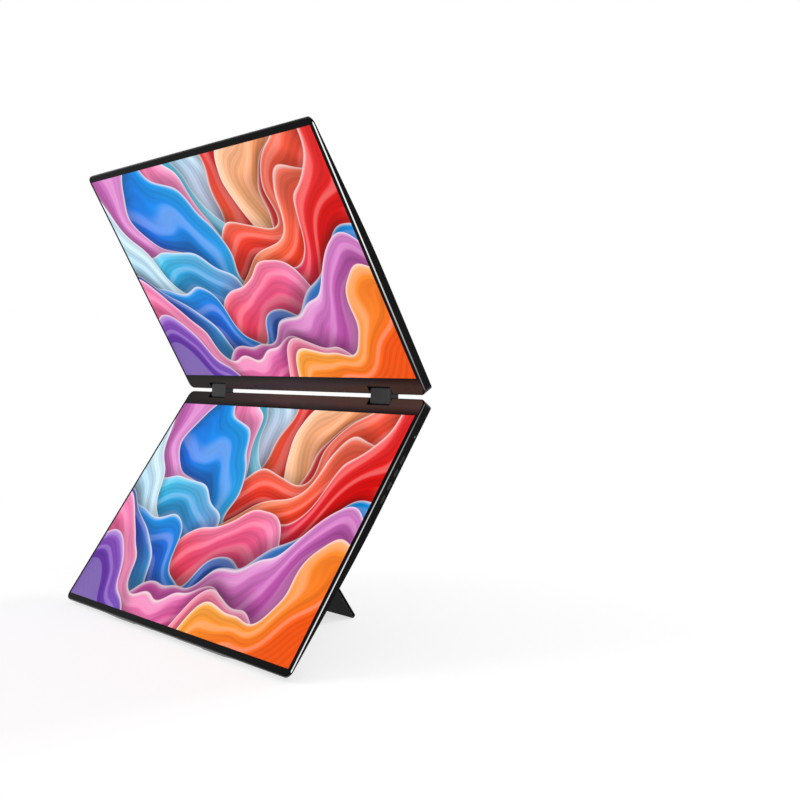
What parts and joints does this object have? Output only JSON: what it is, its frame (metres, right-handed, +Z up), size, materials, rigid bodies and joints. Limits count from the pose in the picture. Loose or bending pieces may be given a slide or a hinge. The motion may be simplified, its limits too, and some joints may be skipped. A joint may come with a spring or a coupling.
{
  "type": "dual-screen portable monitor",
  "caption": "Folding portable monitor with a lower and an upper screen on geared hinges, a rear kickstand, side sockets and side buttons.",
  "frame": {"origin": "on the floor, under the middle of the standing monitor", "axes": "+Z up, +X to the viewer's right when looking at the screens, +Y away from the viewer"},
  "size_m": [0.3524, 0.1658, 0.4087],
  "materials": {
    "cover_metal": "satin black",
    "stand_metal": "matt black",
    "bright_rim": "polished",
    "screen_glass": "gloss",
    "display": "gloss",
    "steel": "turned",
    "hinge_metal": "satin grey",
    "socket_metal": "bright",
    "board": "matt",
    "chip": "matt",
    "button_plastic": "matt",
    "light_pipe": "clear",
    "badge": "gloss"
  },
  "bodies": {
    "lower_screen": {"lower_back_cover": "cover_metal", "lower_front_frame": "bright_rim", "lower_cover_glass": "screen_glass", "lower_display_panel": "display", "lower_hinge_brackets": "steel", "lower_hinge_shafts": "steel", "lower_hinge_gears": "steel", "lower_bracket_screws": "steel", "main_board": "board", "main_board_chips": "chip", "power_data_sockets": "socket_metal", "video_sockets": "socket_metal", "button_board": "board", "tact_switches": "chip", "status_light": "light_pipe", "lower_board_screws": "steel"},
    "hinge_links": {"left_hinge_block": "hinge_metal", "right_hinge_block": "hinge_metal", "hinge_end_caps": "hinge_metal", "friction_sleeves": "steel", "idler_pins": "steel"},
    "lower_idlers": {"lower_idler_gears": "steel"},
    "upper_idlers": {"upper_idler_gears": "steel"},
    "upper_screen": {"upper_back_cover": "cover_metal", "upper_front_frame": "bright_rim", "upper_cover_glass": "screen_glass", "upper_display_panel": "display", "upper_hinge_brackets": "steel", "upper_hinge_shafts": "steel", "upper_hinge_gears": "steel", "upper_bracket_screws": "steel", "driver_board": "board", "driver_board_chips": "chip", "upper_board_screws": "steel", "badge_plate": "badge"},
    "kickstand": {"kickstand": "stand_metal", "kickstand_pins": "steel"},
    "button_1": {"button_1": "button_plastic"},
    "button_2": {"button_2": "button_plastic"},
    "button_3": {"button_3": "button_plastic"},
    "button_4": {"button_4": "button_plastic"}
  },
  "joints": [
    {"name": "lower_hinge", "type": "hinge", "parent": "lower_screen", "child": "hinge_links", "pos_m": [0, 0.05668, 0.19432], "axis": [-1, 0, 0], "range_deg": [-57.5, 85]},
    {"name": "upper_hinge", "type": "hinge", "parent": "hinge_links", "child": "upper_screen", "pos_m": [0, 0.0572, 0.20511], "axis": [-1, 0, 0], "range_deg": [-57.5, 85]},
    {"name": "lower_idler_spin", "type": "hinge", "parent": "hinge_links", "child": "lower_idlers", "pos_m": [0, 0.05686, 0.19809], "axis": [-1, 0, 0], "range_deg": [-77.67, 114.33]},
    {"name": "upper_idler_spin", "type": "hinge", "parent": "hinge_links", "child": "upper_idlers", "pos_m": [0, 0.05702, 0.20133], "axis": [-1, 0, 0], "range_deg": [-114.33, 77.67]},
    {"name": "stand_fold", "type": "hinge", "parent": "lower_screen", "child": "kickstand", "pos_m": [0, 0.00298, 0.11374], "axis": [1, 0, 0], "range_deg": [-70, 0]},
    {"name": "button_1_press", "type": "slide", "parent": "lower_screen", "child": "button_1", "axis": [-1, 0, 0], "range_m": [0, 0.0004], "stiffness_N_per_m": 1500},
    {"name": "button_2_press", "type": "slide", "parent": "lower_screen", "child": "button_2", "axis": [-1, 0, 0], "range_m": [0, 0.0004], "stiffness_N_per_m": 1500},
    {"name": "button_3_press", "type": "slide", "parent": "lower_screen", "child": "button_3", "axis": [-1, 0, 0], "range_m": [0, 0.0004], "stiffness_N_per_m": 1500},
    {"name": "button_4_press", "type": "slide", "parent": "lower_screen", "child": "button_4", "axis": [-1, 0, 0], "range_m": [0, 0.0004], "stiffness_N_per_m": 1500}
  ],
  "couplings": [
    {"joint": "upper_hinge", "follows": "lower_hinge", "ratio": 1},
    {"joint": "lower_idler_spin", "follows": "lower_hinge", "ratio": 1.3333},
    {"joint": "upper_idler_spin", "follows": "lower_hinge", "ratio": -1.3333}
  ]
}
